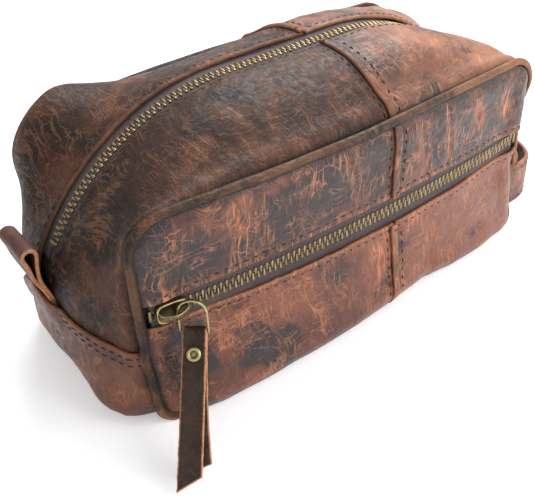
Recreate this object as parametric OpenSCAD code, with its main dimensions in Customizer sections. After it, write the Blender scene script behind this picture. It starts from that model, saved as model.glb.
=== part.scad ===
// Leather shaving kit bag: a boxy dopp kit with a main zip over the crown, a zipped front
// pocket, piped edges, a folded loop tab at the left end and a carry handle at the right end.
// Origin: centre of the base, on the surface it stands on. +X along the bag, -Y to the front.

/* [Bag] */
// Length of the front and back panels
panel_l = 204; // [180:1:230]
// Height of the top edge of the front and back panels
panel_top = 90; // [84:1:96]
// Height of the lower edge of the front and back panels
panel_bottom = 3; // [3:0.5:4]
// Distance from the middle of the bag to the edge of the front panel
half_depth = 47.6; // [44:0.2:52]
// How far the front and back panels swell at mid-length
panel_bulge = 6.6; // [5:0.2:8]
// Radius of the panel corners
corner_r = 14; // [12:1:18]
// Thickness of the leather
leather = 1.8; // [1.4:0.1:2]
// Radius of the leather-covered piping
piping_r = 1.5; // [1.2:0.1:1.5]

/* [Crown] */
// Height of the crown along the main zip
crown_h = 110; // [106:1:114]
// Half the length of the flat stretch of the crown
crown_half = 30; // [24:1:36]
// Radius of the two shoulders
shoulder_r = 100; // [95:1:105]
// Angle that each shoulder turns through
shoulder_a = 60; // [58:1:62]

/* [Front zip] */
// Height of the front zip's centre line
zip_z = 50; // [46:1:54]
// Half the opening in the leather at its ends
gap_end = 5.2; // [5:0.1:6]
// How much wider each side of the opening is at mid-length
gap_swell = 1.4; // [0:0.1:2]
// Where the panels are joined by a lapped seam, right of the middle
seam_x = 12; // [0:1:20]

/* [Zip chain] */
// Spacing of the teeth
tooth_pitch = 2.54; // [2.54:0.01:2.6]
// Half the width of the closed chain
chain_w = 2.9; // [2.8:0.05:3]
// Half the thickness of the teeth
tooth_t = 1.1; // [1:0.05:1.15]
// Thickness of the woven tape
tape_t = 0.6; // [0.5:0.05:0.7]

/* [Sliders] */
// Half the length of a slider
slider_l = 6.5; // [6:0.1:7]
// Half the width of a slider at its mouth
slider_w = 4.4; // [4.2:0.1:4.6]
// Thickness of a slider's wings
wing_t = 1.2; // [1:0.1:1.3]
// Angle that the front slider runs through along the swollen panel
front_travel = 13.2; // [12:0.1:13.2]
// Angle on the right shoulder where the closed main slider is parked
main_park = 52; // [48:1:53]

/* [Pulls] */
// Radius of the pull ring's wire
ring_wire = 0.65; // [0.6:0.05:0.7]
// Radius of the pull ring's round end
ring_r = 5.25; // [5:0.25:5.5]
// Length of the pull ring's straight sides
ring_leg = 9.8; // [9:0.1:10]
// Width of the leather pull straps
strap_w = 9; // [8.4:0.1:9.2]
// Thickness of the strap leather
strap_t = 1.4; // [1.2:0.1:1.4]
// Length of the front tail of a strap, below the ring
strap_l = 57; // [50:1:58]
// How far the front ring is turned out from the panel
ring_turn = 40; // [35:1:50]
// How far the front strap leans below the horizontal
strap_lean = 44; // [42:1:48]

/* [End fittings] */
// Width of the folded loop tab at the left end
tab_w = 21; // [18:1:24]
// Height of the tab's fold
tab_h = 70; // [68:1:72]
// Width of the carry handle at the right end
handle_w = 22; // [18:1:24]
// Height of the handle's lower edge
handle_z = 9; // [8:1:12]
// How far the handle's outside bows out beyond the piping
handle_bow = 26; // [25:0.5:27]

/* [Hidden] */

hide_brown = [0.42, 0.21, 0.12];
hide_dark = [0.27, 0.15, 0.10];
hide_tan = [0.58, 0.32, 0.18];
brass_old = [0.55, 0.46, 0.26];
tape_brown = [0.20, 0.12, 0.10];
cloth_tan = [0.55, 0.47, 0.36];

// Panels: faces are arcs about an upright axis, so they swell at mid-length
panel_r = (pow(panel_l / 2, 2) + pow(panel_bulge, 2)) / (2 * panel_bulge);
panel_axis = panel_r - half_depth - panel_bulge;
tape_r = panel_r - leather - tape_t / 2;
tape_w = 13;
tape_end_gap = 0.3;
panel_reach = 30;
smooth_n = 256;

// Crown profile: the shoulders run on into rounded hips that meet the flat base
shoulder_z = crown_h - shoulder_r;
hip_r = (crown_h - shoulder_r * (1 - cos(shoulder_a))) / (1 + cos(shoulder_a));
hip_x = crown_half + (shoulder_r - hip_r) * sin(shoulder_a);
tape_clear = 0.45;
tape_dip = 0.5;
zip_r = shoulder_r - leather - tape_clear - tape_t / 2;
zip_flat = 10;
zip_seam = 45;
main_gap = 5.8;
main_tape_w = 9.6;
tape_end_a = 74;

// End flaps of the base lap over the gusset along a line that peaks under the zip
lap_side = 33;
lap_peak = 50;

// Chain and slider
bead = 2.2;
tooth_gap = 0.55;
tooth_l = 1.5;
channel = 1.5;
channel_w = 3.25;
slot = 0.6;
post_l = 2.4;
post_w = 0.56;
bridge_w = 2.6;
bridge_t = 1;
tunnel_h = 3;
tunnel_x = 1;
tunnel_half = 3;
wing_top = channel + wing_t;
pull_axis = wing_top + tunnel_h / 2;
front_park = front_travel / 2;
stop_l = 1.4;
stop_w = 2.6;
crimp = 0.02;
stop_room = 2;
front_stop_x = panel_l / 2 - 2.8;
main_stop_a = main_park + 5.2;

// Pulls
rivet_drop = 8.4;
rivet_r = 1;
rivet_cap = 2.8;
rivet_cap_t = 0.7;
cap_flat = rivet_cap - 0.6;
cap_rim = 0.2;
strap_fit = 0.08;
tail_short = 6;
cut_drop = 5.5;
back_cut = 2;
main_hang = 26;
main_ring_a = 43;
ring_rise = 0.8;

// Lining, pocket and stiffener
lining_out = 5.4;
lining_t = 0.6;
divider_y = 41;
divider_gap = 0.4;
mouth_half = 90;
mouth_w = 16;
mouth_z = 60;
board_t = 1.6;
board_z = 3.5;
board_l = 156;
board_w = 68;
far = 150;
arc_n = 8;

// Points on an arc in the X-Z plane, with the angle taken from +Z towards +X
function arc_pts(cx, cz, r, a0, a1, n) =
    [for (i = [0:n]) let (a = a0 + (a1 - a0) * i / n) [cx + r * sin(a), cz + r * cos(a)]];

function corner_z(top) = top ? panel_top - corner_r : panel_bottom + corner_r;

// Right half of the panel's outline, pulled in by g
function panel_half(g) = concat(
    arc_pts(panel_l / 2 - corner_r, corner_z(true), corner_r - g, 0, 90, arc_n),
    arc_pts(panel_l / 2 - corner_r, corner_z(false), corner_r - g, 90, 180, arc_n));

// Right half of the profile at mid-depth, pulled in by g
function crown_profile(g) = concat(
    arc_pts(crown_half, shoulder_z, shoulder_r - g, 0, shoulder_a, arc_n),
    arc_pts(hip_x, hip_r, hip_r - g, shoulder_a + 15, 180, arc_n));

// Share of the crown's profile at a depth of y: the gusset puffs up from its seams
function puff(y) =
    abs(y) >= zip_seam ? 0 :
    abs(y) <= zip_flat ? 1 : 1 - pow((abs(y) - zip_flat) / (zip_seam - zip_flat), 2.2);

function mix(a, b, w) = [for (i = [0:len(a) - 1]) a[i] * (1 - w) + b[i] * w];
function mirrored(p) = concat(p, [for (i = [len(p) - 1:-1:0]) [-p[i][0], p[i][1]]]);
function section(y, g) = mirrored(mix(panel_half(g), crown_profile(g), puff(y)));

stations = [half_depth + panel_bulge + 2, zip_seam, 42, 38, 31, 22, zip_flat];
all_stations = concat([for (s = stations) -s], [for (i = [len(stations) - 1:-1:0]) stations[i]]);

// The bag's full rounded form, pulled in by g: one section of points at each station
module form(g)
    let (m = len(section(0, g)), n = len(all_stations))
        polyhedron(
            points = [for (y = all_stations) for (p = section(y, g)) [p[0], y, p[1]]],
            faces = concat(
                [[for (k = [0:m - 1]) k], [for (k = [m - 1:-1:0]) (n - 1) * m + k]],
                [for (i = [0:n - 2], k = [0:m - 1])
                    let (a = i * m, b = a + m, j = (k + 1) % m)
                        each [[a + k, b + k, b + j], [a + k, b + j, a + j]]]));

// Everything between the front and back panels' swollen faces, pulled in by g
module between_panels(g)
    intersection_for (s = [-1, 1])
        translate([0, s * panel_axis, -far])
            cylinder(r = panel_r - g, h = 2 * far, $fn = smooth_n);

module gusset_skin()
    difference() {
        intersection() {
            form(0);
            between_panels(leather);
        }
        form(leather);
    }

// Below the lap line, across the whole length
module below_lap()
    rotate([90, 0, 90])
        linear_extrude(2 * far, center = true)
            polygon([
                [-far, -1], [far, -1], [far, lap_side], [half_depth, lap_side],
                [0, lap_peak], [-half_depth, lap_side], [-far, lap_side]
            ]);

// One quarter of the zip gusset: side -1 is the front and 1 the back, end -1 left and 1 right
module gusset_part(side, end)
    intersection() {
        difference() {
            gusset_skin();
            below_lap();
            translate([-far, -main_gap, 0])
                cube([2 * far, 2 * main_gap, far]);
        }
        translate([end > 0 ? seam_x : seam_x - 2 * far, side > 0 ? 0 : -far, 0])
            cube([2 * far, far, far]);
    }

module gusset_front_left() color(hide_dark) gusset_part(-1, -1);
module gusset_front_right() color(hide_brown) gusset_part(-1, 1);
module gusset_back_left() color(hide_dark) gusset_part(1, -1);
module gusset_back_right() color(hide_brown) gusset_part(1, 1);

module base_panel()
    color(hide_brown)
        intersection() {
            gusset_skin();
            below_lap();
        }

// Half the width of the front zip's opening at x
function gap_at(x) = gap_end + gap_swell * cos(90 * x / (panel_l / 2));

gap_steps = 16;
function gap_edge(s) = [
    for (i = [0:gap_steps])
        let (x = panel_l * (i / gap_steps - 0.5)) [x, zip_z + s * gap_at(x)]
];

// The leather of a swollen panel, cut to a flat outline
module panel_skin(side)
    intersection() {
        translate([0, -side * panel_axis, 0])
            difference() {
                cylinder(r = panel_r, h = far, $fn = smooth_n);
                translate([0, 0, -1])
                    cylinder(r = panel_r - leather, h = far + 2, $fn = smooth_n);
            }
        translate([0, side * half_depth, 0])
            rotate([90, 0, 0])
                linear_extrude(panel_reach, center = true)
                    children();
    }

module panel_outline() polygon(mirrored(panel_half(0)));

// A front panel piece: up is 1 above the zip and -1 below it, end is -1 left and 1 right
module front_piece(up, end)
    panel_skin(-1)
        intersection() {
            panel_outline();
            polygon(concat(gap_edge(up), [[far, zip_z + up * far], [-far, zip_z + up * far]]));
            translate([end > 0 ? seam_x : seam_x - far, -far])
                square([far, 3 * far]);
        }

module front_upper_left_panel() color(hide_brown) front_piece(1, -1);
module front_upper_right_panel() color(hide_brown) front_piece(1, 1);
module front_lower_left_panel() color(hide_brown) front_piece(-1, -1);
module front_lower_right_panel() color(hide_brown) front_piece(-1, 1);
module back_panel() color(hide_brown) panel_skin(1) panel_outline();

// Piping: a round tube swept just outside the panel's outline, along its swollen face
piping_sides = 8;
function face_y(x) = panel_axis - sqrt(pow(panel_r, 2) - pow(x, 2));
function spaced(a, b, n) = [for (i = [1:n - 1]) a + (b - a) * i / n];
function piping_route() =
    let (half = panel_half(-piping_r), top = half[0], low = half[len(half) - 1])
        concat(
            half,
            spaced(low, [-low[0], low[1]], 14),
            [for (i = [len(half) - 1:-1:0]) [-half[i][0], half[i][1]]],
            spaced([-top[0], top[1]], top, 14));

// The tube's ring of points around route point i; out is the outline's outward direction
function tube_ring(route, i) =
    let (n = len(route), p = route[i], d = route[(i + 1) % n] - route[(i + n - 1) % n],
         out = [-d[1], d[0]] / norm(d), y = face_y(p[0]) + leather / 2)
        [for (k = [0:piping_sides - 1])
            let (a = 360 * k / piping_sides, r = piping_r)
                [p[0] + r * cos(a) * out[0], y + r * sin(a), p[1] + r * cos(a) * out[1]]];

module piping()
    let (route = piping_route(), n = len(route), m = piping_sides)
        polyhedron(
            points = [for (i = [0:n - 1]) each tube_ring(route, i)],
            faces = [for (i = [0:n - 1], k = [0:m - 1])
                let (a = i * m, b = ((i + 1) % n) * m, j = (k + 1) % m)
                    each [[a + k, b + k, b + j], [a + k, b + j, a + j]]]);

module front_piping() color(hide_dark) piping();
module back_piping() color(hide_dark) mirror([0, 1, 0]) piping();

// Front zip: arcs about the front panel's axis, centred on the -Y side
module front_arc(half_a)
    translate([0, panel_axis, zip_z])
        rotate([0, 0, -90 - half_a])
            rotate_extrude(angle = 2 * half_a, $fn = smooth_n)
                children();

front_half_a = asin((panel_l / 2 - leather - tape_end_gap) / panel_r);

module front_tape(up)
    front_arc(front_half_a)
        translate([tape_r - tape_t / 2, up > 0 ? bead : -tape_w])
            square([tape_t, tape_w - bead]);

// One tooth, standing in the chain's own frame: X along the chain, Y across it, Z outwards
module tooth(side)
    translate([-tooth_l / 2, side > 0 ? tooth_gap : -chain_w, -tooth_t])
        cube([tooth_l, chain_w - tooth_gap, 2 * tooth_t]);

// Places a child of the front chain at an angle along the arc: Z becomes outwards, Y becomes up
module on_front(a)
    translate([0, panel_axis, zip_z])
        rotate([0, 0, a])
            translate([0, -tape_r, 0])
                rotate([90, 0, 0])
                    children();

front_pitch_a = tooth_pitch / tape_r * 180 / PI;
front_teeth_n = floor((front_stop_x - stop_room) / tooth_pitch);

module front_teeth(up)
    difference() {
        for (i = [-front_teeth_n:front_teeth_n])
            on_front((i + up * 0.25) * front_pitch_a) tooth(up);
        front_tape(up);
    }

module front_zip_tape_upper() color(tape_brown) front_tape(1);
module front_zip_tape_lower() color(tape_brown) front_tape(-1);
module front_zip_teeth_upper() color(brass_old) front_teeth(1);
module front_zip_teeth_lower() color(brass_old) front_teeth(-1);

// A crimped stop, clamped over the two tape edges
module stop()
    difference() {
        translate([-stop_l / 2, -stop_w, -tooth_t])
            cube([stop_l, 2 * stop_w, 2 * tooth_t]);
        for (s = [-1, 1])
            translate([-stop_l, s > 0 ? bead - crimp : -bead - far + crimp, -tape_t / 2 - crimp])
                cube([2 * stop_l, far, tape_t + 2 * crimp]);
    }

module front_zip_stops()
    color(brass_old)
        for (s = [-1, 1])
            on_front(s * asin(front_stop_x / tape_r)) stop();

// Main zip: over the crown at mid-depth, arc and flat and arc
// Points along the tape from the crown's middle to its end, at a height t above its middle
function main_band(t) = concat(
    arc_pts(crown_half, shoulder_z, zip_r + t, 0, shoulder_a, 20),
    arc_pts(hip_x, hip_r, hip_r - shoulder_r + zip_r - tape_dip + t, shoulder_a + 3, tape_end_a, 4));
function main_edge(t) = let (p = main_band(t))
    concat([for (i = [len(p) - 1:-1:0]) [-p[i][0], p[i][1]]], p);

module main_tape(side)
    let (top = main_edge(tape_t / 2), low = main_edge(-tape_t / 2))
        translate([0, side > 0 ? main_tape_w : -bead, 0])
            rotate([90, 0, 0])
                linear_extrude(main_tape_w - bead)
                    polygon(concat(top, [for (i = [len(low) - 1:-1:0]) low[i]]));

// Half the length of the main chain, from the middle of the crown to a stop
main_half = crown_half + zip_r * main_stop_a * PI / 180;
main_teeth_n = floor((main_half - stop_room) / tooth_pitch);

// Places a child of the main chain at a length s from the crown's middle, right is positive
module on_main(s) {
    a = max(0, abs(s) - crown_half) / zip_r * 180 / PI;
    mirror([s < 0 ? 1 : 0, 0, 0])
        translate([min(abs(s), crown_half), 0, shoulder_z])
            rotate([0, a, 0])
                translate([0, 0, zip_r])
                    children();
}

module main_teeth(side)
    difference() {
        for (i = [-main_teeth_n:main_teeth_n])
            on_main((i + side * 0.25) * tooth_pitch) tooth(side);
        main_tape(side);
    }

module main_zip_tape_front() color(tape_brown) main_tape(-1);
module main_zip_tape_back() color(tape_brown) main_tape(1);
module main_zip_teeth_front() color(brass_old) main_teeth(-1);
module main_zip_teeth_back() color(brass_old) main_teeth(1);
module main_zip_stops()
    color(brass_old)
        for (s = [-1, 1])
            on_main(s * main_half) stop();

// Slider in the chain's frame: +X is its narrow end, where the closed chain leaves it
module slider_outline()
    polygon([
        [-slider_l, slider_w - 1.2], [-slider_l + 1.2, slider_w], [-slider_l + 5, slider_w],
        [slider_l - 0.8, slider_w - 0.5], [slider_l, slider_w - 1.1],
        [slider_l, -slider_w + 1.1], [slider_l - 0.8, -slider_w + 0.5],
        [-slider_l + 5, -slider_w], [-slider_l + 1.2, -slider_w], [-slider_l, -slider_w + 1.2]
    ]);

module wing()
    difference() {
        translate([0, 0, slot])
            linear_extrude(wing_top - slot)
                slider_outline();
        translate([-slider_l - 1, -channel_w, 0])
            cube([2 * slider_l + 2, 2 * channel_w, channel]);
    }

// An arched bridge with a tunnel that runs across the slider
module bridge()
    translate([tunnel_x, bridge_w / 2, wing_top])
        rotate([90, 0, 0])
            linear_extrude(bridge_w)
                polygon([
                    [-tunnel_half - 1.6, 0], [-tunnel_half - 0.8, tunnel_h - 0.6],
                    [-tunnel_half + 0.6, tunnel_h + bridge_t],
                    [tunnel_half - 0.6, tunnel_h + bridge_t],
                    [tunnel_half + 0.8, tunnel_h - 0.6], [tunnel_half + 1.6, 0],
                    [tunnel_half, 0], [tunnel_half - 0.4, tunnel_h - 0.7],
                    [tunnel_half - 1.1, tunnel_h], [-tunnel_half + 1.1, tunnel_h],
                    [-tunnel_half + 0.4, tunnel_h - 0.7], [-tunnel_half, 0]
                ]);

module slider() {
    wing();
    mirror([0, 0, 1]) wing();
    translate([-slider_l + 1, -post_w / 2, -channel])
        cube([post_l, post_w, 2 * channel]);
    bridge();
}

module front_slider() color(brass_old) on_front(-front_park) slider();

// The main slider's mouth faces the right end, so it is turned round in the chain's frame
module at_main_park()
    on_main(crown_half + zip_r * main_park * PI / 180)
        rotate([0, 0, 180])
            children();

module main_slider() color(brass_old) at_main_park() slider();

// D-shaped pull ring: its bar lies along X through the origin, and it rises along +Z
module pull_ring() {
    for (s = [-1, 1])
        translate([s * ring_r, 0, 0])
            cylinder(r = ring_wire, h = ring_leg, $fn = 48);
    for (s = [-1, 1])
        translate([s * ring_r, 0, 0])
            sphere(r = ring_wire, $fn = 48);
    translate([-ring_r, 0, 0])
        rotate([0, 90, 0])
            cylinder(r = ring_wire, h = 2 * ring_r, $fn = 48);
    translate([0, 0, ring_leg])
        rotate([90, 0, 0])
            rotate_extrude(angle = 180, $fn = 96)
                translate([ring_r, 0])
                    circle(r = ring_wire, $fn = 48);
}

// The front ring's upright side runs in the slider's tunnel, and is its turning axis
bar_drop = ring_leg - ring_rise;
axis_a = -front_park + asin(tunnel_x / tape_r);
axis_r = tape_r + pull_axis;
front_axis = [axis_r * sin(axis_a), panel_axis - axis_r * cos(axis_a)];

module at_front_bar()
    translate([front_axis[0], front_axis[1], zip_z - bar_drop])
        rotate([0, 0, -ring_turn])
            translate([ring_r, 0, 0])
                children();

module front_pull_ring() color(brass_old) at_front_bar() pull_ring();

// The main ring's round end runs in the tunnel, and its bar hangs down the right end
main_axis_a = main_park - asin(tunnel_x / zip_r);
main_axis_r = zip_r + pull_axis;
main_axis = [crown_half + main_axis_r * sin(main_axis_a),
             shoulder_z + main_axis_r * cos(main_axis_a)];
main_bar = main_axis
    + (ring_leg + ring_r) * [sin(main_ring_a), -cos(main_ring_a)];

module at_main_bar(lean)
    translate([main_bar[0], 0, main_bar[1]])
        rotate([0, 0, 90])
            rotate([-lean, 0, 0])
                children();

module main_pull_ring() color(brass_old) at_main_bar(main_ring_a) pull_ring();

// Leather strap folded round a ring's bar: it hangs along -Z, and its face looks along -Y
fold_r = ring_wire + strap_fit;
module tail(len, cut)
    rotate([90, 0, 0])
        linear_extrude(strap_t)
            polygon([
                [-strap_w / 2, 0], [strap_w / 2, 0], [strap_w / 2, -len + cut],
                [-strap_w / 2, -len]
            ]);

module pull_strap()
    difference() {
        union() {
            translate([-strap_w / 2, 0, 0])
                rotate([0, 90, 0])
                    rotate([0, 0, 90])
                        rotate_extrude(angle = 180, $fn = 48)
                            translate([fold_r, 0])
                                square([strap_t, strap_w]);
            translate([0, -fold_r, 0]) tail(strap_l, cut_drop);
            translate([0, fold_r + strap_t, 0]) tail(strap_l - tail_short, cut_drop - back_cut);
        }
        translate([0, 0, -rivet_drop])
            rotate([90, 0, 0])
                cylinder(r = rivet_r + crimp, h = 20, center = true, $fn = 48);
    }

// Post through both tails and the gap between them, with a domed cap outside each
module strap_rivet() {
    half = fold_r + strap_t;
    translate([0, 0, -rivet_drop])
        rotate([90, 0, 0])
            rotate_extrude($fn = 64)
                polygon(concat(
                    [[0, -half - rivet_cap_t], [cap_flat, -half - rivet_cap_t],
                     [rivet_cap, -half - cap_rim], [rivet_cap, -half], [rivet_r, -half]],
                    [[rivet_r, half], [rivet_cap, half], [rivet_cap, half + cap_rim],
                     [cap_flat, half + rivet_cap_t], [0, half + rivet_cap_t]]));
}

module at_front_strap() at_front_bar() rotate([strap_lean - 90, 0, 0]) children();
module front_pull_strap() color(hide_dark) at_front_strap() pull_strap();
module front_strap_rivet() color(brass_old) at_front_strap() strap_rivet();
module main_pull_strap() color(hide_dark) at_main_bar(main_hang) pull_strap();
module main_strap_rivet() color(brass_old) at_main_bar(main_hang) strap_rivet();

// Loop tab: one strip folded to a teardrop, standing on the left end flap
tab_stand = 2.4;
tab_x = hip_x + hip_r + tab_stand;
tab_root = 41;
tab_roll = 3.7;
tab_eye = 1.9;
tab_leaf = 1.9;
tab_neck = 11;
function tab_outer() = concat(
    [[-tab_leaf, tab_root], [-tab_leaf, tab_h - tab_neck]],
    arc_pts(0, tab_h - tab_roll, tab_roll, -100, 100, 12),
    [[tab_leaf, tab_h - tab_neck], [tab_leaf, tab_root]]);
function tab_hole() = concat(
    [[0, tab_h - tab_neck - 2]],
    arc_pts(0, tab_h - tab_roll, tab_eye, -100, 100, 12));

module loop_tab_left()
    color(hide_tan)
        translate([-tab_x, 0, 0])
            rotate([90, 0, 0])
                linear_extrude(tab_w, center = true)
                    difference() {
                        polygon(tab_outer());
                        polygon(tab_hole());
                    }

// Carry handle: a strap bowed across the right end, from the front piping to the back piping
handle_t = 2.2;
handle_half = 45.6;
root_gap = 0.2;
handle_root = panel_l / 2 + 2 * piping_r + root_gap;
handle_n = 32;
handle_square = 3;

// The handle's bow, pulled in by g: an oval with squared corners, cut off at its root
function handle_edge(g) = [
    for (i = [0:handle_n])
        let (a = 180 * i / handle_n)
            [handle_root + (handle_bow - g) * pow(sin(a), 2 / handle_square),
             (handle_half - g) * sign(cos(a)) * pow(abs(cos(a)), 2 / handle_square)]
];

module side_handle()
    color(hide_tan)
        translate([0, 0, handle_z])
            linear_extrude(handle_w)
                let (outer = handle_edge(0), inner = handle_edge(handle_t))
                    polygon(concat(outer, [for (i = [handle_n:-1:0]) inner[i]]));

// Lining: a cloth bag inside the leather, open along the main zip
module lining_form(g)
    intersection() {
        form(g);
        translate([-far, -divider_y - lining_out + g + divider_gap, 0])
            cube([2 * far, 2 * far, far]);
        between_panels(g);
    }

module lining()
    color(cloth_tan)
        difference() {
            lining_form(lining_out);
            lining_form(lining_out + lining_t);
            translate([-mouth_half, -mouth_w / 2, mouth_z])
                cube([2 * mouth_half, mouth_w, far]);
        }

// Cloth wall between the front pocket and the main compartment
module pocket_divider()
    color(cloth_tan)
        translate([0, -divider_y, 0])
            rotate([90, 0, 0])
                linear_extrude(lining_t)
                    polygon(mirrored(panel_half(lining_out)));

// Board between the leather base and the lining
module base_stiffener()
    color([0.45, 0.38, 0.30])
        translate([-board_l / 2, -board_w / 2, board_z])
            cube([board_l, board_w, board_t]);

front_upper_left_panel();
front_upper_right_panel();
front_lower_left_panel();
front_lower_right_panel();
back_panel();
gusset_front_left();
gusset_front_right();
gusset_back_left();
gusset_back_right();
base_panel();
front_piping();
back_piping();
front_zip_tape_upper();
front_zip_tape_lower();
front_zip_teeth_upper();
front_zip_teeth_lower();
front_zip_stops();
main_zip_tape_front();
main_zip_tape_back();
main_zip_teeth_front();
main_zip_teeth_back();
main_zip_stops();
loop_tab_left();
side_handle();
lining();
pocket_divider();
base_stiffener();
front_slider();
front_pull_ring();
front_pull_strap();
front_strap_rivet();
main_slider();
main_pull_ring();
main_pull_strap();
main_strap_rivet();
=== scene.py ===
import math

import bpy
import numpy as np
from mathutils import Matrix, Vector


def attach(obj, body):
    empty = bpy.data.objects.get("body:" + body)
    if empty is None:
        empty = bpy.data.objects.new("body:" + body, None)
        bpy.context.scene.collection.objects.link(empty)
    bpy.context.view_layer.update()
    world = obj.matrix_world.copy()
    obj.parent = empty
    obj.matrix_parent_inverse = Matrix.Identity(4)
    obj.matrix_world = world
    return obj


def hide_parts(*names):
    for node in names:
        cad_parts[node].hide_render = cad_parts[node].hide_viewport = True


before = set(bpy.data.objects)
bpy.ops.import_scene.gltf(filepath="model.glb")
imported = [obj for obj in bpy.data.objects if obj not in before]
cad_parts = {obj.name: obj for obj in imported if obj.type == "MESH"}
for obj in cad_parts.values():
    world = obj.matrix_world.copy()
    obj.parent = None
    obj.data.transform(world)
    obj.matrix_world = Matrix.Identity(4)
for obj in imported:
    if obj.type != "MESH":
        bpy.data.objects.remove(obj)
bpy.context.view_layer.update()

# Lengths are in millimetres in the bag's own frame, and MM turns them into Blender's metres.
MM = 0.001

# The bag's form, as the CAD model has it, apart from tighter lower corners
PANEL_HALF = 102.0
PANEL_TOP = 90.0
PANEL_LOW = 3.0
CORNER = 14.0
LOW_CORNER = 5.0
HALF_DEPTH = 47.6
BULGE = 6.6
LEATHER = 1.8
CROWN = 110.0
CROWN_HALF = 30.0
SHOULDER_R = 100.0
SHOULDER_A = 60.0
SHOULDER_Z = CROWN - SHOULDER_R
HIP_R = 40.0
HIP_X = CROWN_HALF + (SHOULDER_R - HIP_R) * math.sin(math.radians(SHOULDER_A))
SEAM_X = 12.0
ZIP_Z = 50.0
LAP_SIDE = 33.0
LAP_PEAK = 50.0
# About half the length round the profile under the main zip, half the depth along the leather
# between the seams, and a point inside the bag
HALF_ROUND = 290.0
HALF_OVER = 46.0
INSIDE = np.array([0, 0, 45.0])

# The faces of the front and back panels are arcs about an upright axis
PANEL_R = (PANEL_HALF**2 + BULGE**2) / (2 * BULGE)
PANEL_AXIS = PANEL_R - HALF_DEPTH - BULGE

# Zip chains
PITCH = 2.54
TAPE_T = 0.6
FRONT_TAPE_R = PANEL_R - LEATHER - TAPE_T / 2
MAIN_TAPE_R = SHOULDER_R - LEATHER - 0.45 - TAPE_T / 2
FRONT_TEETH = 38
MAIN_TEETH = 49
STOP_X = 99.2
MAIN_STOP = CROWN_HALF + MAIN_TAPE_R * math.radians(57.2)

# Sliders and pulls. Where the sliders are parked is first an angle in degrees round the zip's
# arc, and then a length along the zip from its middle
FRONT_PARK_A = 6.6
MAIN_PARK_A = 52.0
FRONT_PARK = FRONT_TAPE_R * math.radians(FRONT_PARK_A)
MAIN_PARK = CROWN_HALF + MAIN_TAPE_R * math.radians(MAIN_PARK_A)
PULL_AXIS = 4.2
TUNNEL_X = 1.0
RING_R = 5.25
RING_LEG = 9.8
BAR_HALF = 0.73
RING_TURN = 40.0
STRAP_LEAN = 44.0
MAIN_RING_LEAN = 43.0
MAIN_HANG = 26.0
STRAP_W = 9.0
STRAP_T = 1.4
STRAP_LONG = 57.0
STRAP_SHORT = 51.0
RIVET_DROP = 8.4

# Loop tab and handle
TAB_X = HIP_X + HIP_R + 2.4
TAB_W = 21.0
TAB_TOP = 72.0
TAB_T = 1.6
HANDLE_ROOT = PANEL_HALF + 3.2
HANDLE_BOW = 26.0
HANDLE_HALF = 45.6
HANDLE_LOW = 9.0
HANDLE_W = 22.0
HANDLE_T = 2.2

# Words for the two sides of a place, in the pieces' names
LEVEL = {1: "upper", -1: "lower"}
END = {1: "right", -1: "left"}
DEPTH = {1: "back", -1: "front"}


# ---------------------------------------------------------------- small helpers

def smooth(x, low, high):
    """0 below low, 1 above high, and a smooth step between."""
    t = np.clip((np.asarray(x, float) - low) / (high - low), 0, 1)
    return t * t * (3 - 2 * t)


def bell(x, middle, width):
    """1 where x is middle, and falling to 0 on both sides over about twice the width."""
    return np.exp(-(((x - middle) / width) ** 2))


def waves(points, size, seed):
    """Smooth noise from -1 to 1: a sum of seeded sine waves about size mm long."""
    rng = np.random.default_rng(seed)
    points = np.asarray(points, float)
    total = np.zeros(points.shape[:-1])
    count = 8
    for _ in range(count):
        direction = rng.normal(size=3)
        direction /= np.linalg.norm(direction)
        rate = 2 * math.pi / (size * rng.uniform(0.6, 1.6))
        total += np.sin(points @ direction * rate + rng.uniform(0, 2 * math.pi))
    return total / count * 1.6


def spread(count, length, fine=(0.1, 0.3, 0.55, 0.9, 1.4)):
    """Positions from 0 to 1 along a length in mm, crowded at both ends to round the rims."""
    ends = np.array(fine) / length
    middle = np.linspace(2.2 / length, 1 - 2.2 / length, count)
    return np.concatenate([[0], ends, middle, 1 - ends[::-1], [1]])


def signed_power(x, power):
    return np.sign(x) * np.abs(x) ** power


def packed(*coordinates):
    """Points, or other rows of values, from their separate coordinates."""
    return np.stack(np.broadcast_arrays(*coordinates), -1)


def unit(v):
    return v / np.maximum(np.linalg.norm(v, axis=-1, keepdims=True), 1e-9)


def lengths(points):
    """Length in mm along a line, from its start to each of its points."""
    return np.concatenate([[0], np.cumsum(np.linalg.norm(np.diff(points, axis=0), axis=-1))])


def at_lengths(points, places):
    """The line's points at the given lengths from its start."""
    run = lengths(points)
    return np.stack([np.interp(places, run, column) for column in points.T], -1)


def even_line(points, count, closed=False):
    """Count points at even steps along a line."""
    return at_lengths(points, np.linspace(0, lengths(points)[-1], count, endpoint=not closed))


def crowded_line(points, count):
    """Points along a line, crowded at both ends to round the rims."""
    length = lengths(points)[-1]
    return at_lengths(points, spread(count, length) * length)


def grid_normals(grid, sign):
    """Unit normals of a grid of points."""
    du = np.gradient(grid, axis=0)
    dv = np.gradient(grid, axis=1)
    return unit(np.cross(du, dv)) * sign


def rim_distance(grid):
    """Distance in mm of each grid point from the nearest of the grid's four sides."""
    near = []
    for axis in (0, 1):
        steps = np.linalg.norm(np.diff(grid, axis=axis), axis=-1)
        start = np.zeros_like(np.take(steps, [0], axis=axis))
        run = np.cumsum(np.concatenate([start, steps], axis=axis), axis=axis)
        near += [run, np.take(run, [-1], axis=axis) - run]
    return np.minimum.reduce(near)


def to_line(x, z, line):
    """Distance in mm from points (x, z) to a polyline."""
    best = np.full(np.shape(x), 1e9)
    for (ax, az), (bx, bz) in zip(line, line[1:]):
        lx, lz = bx - ax, bz - az
        t = np.clip(((x - ax) * lx + (z - az) * lz) / (lx * lx + lz * lz), 0, 1)
        best = np.minimum(best, np.hypot(x - ax - t * lx, z - az - t * lz))
    return best


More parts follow.
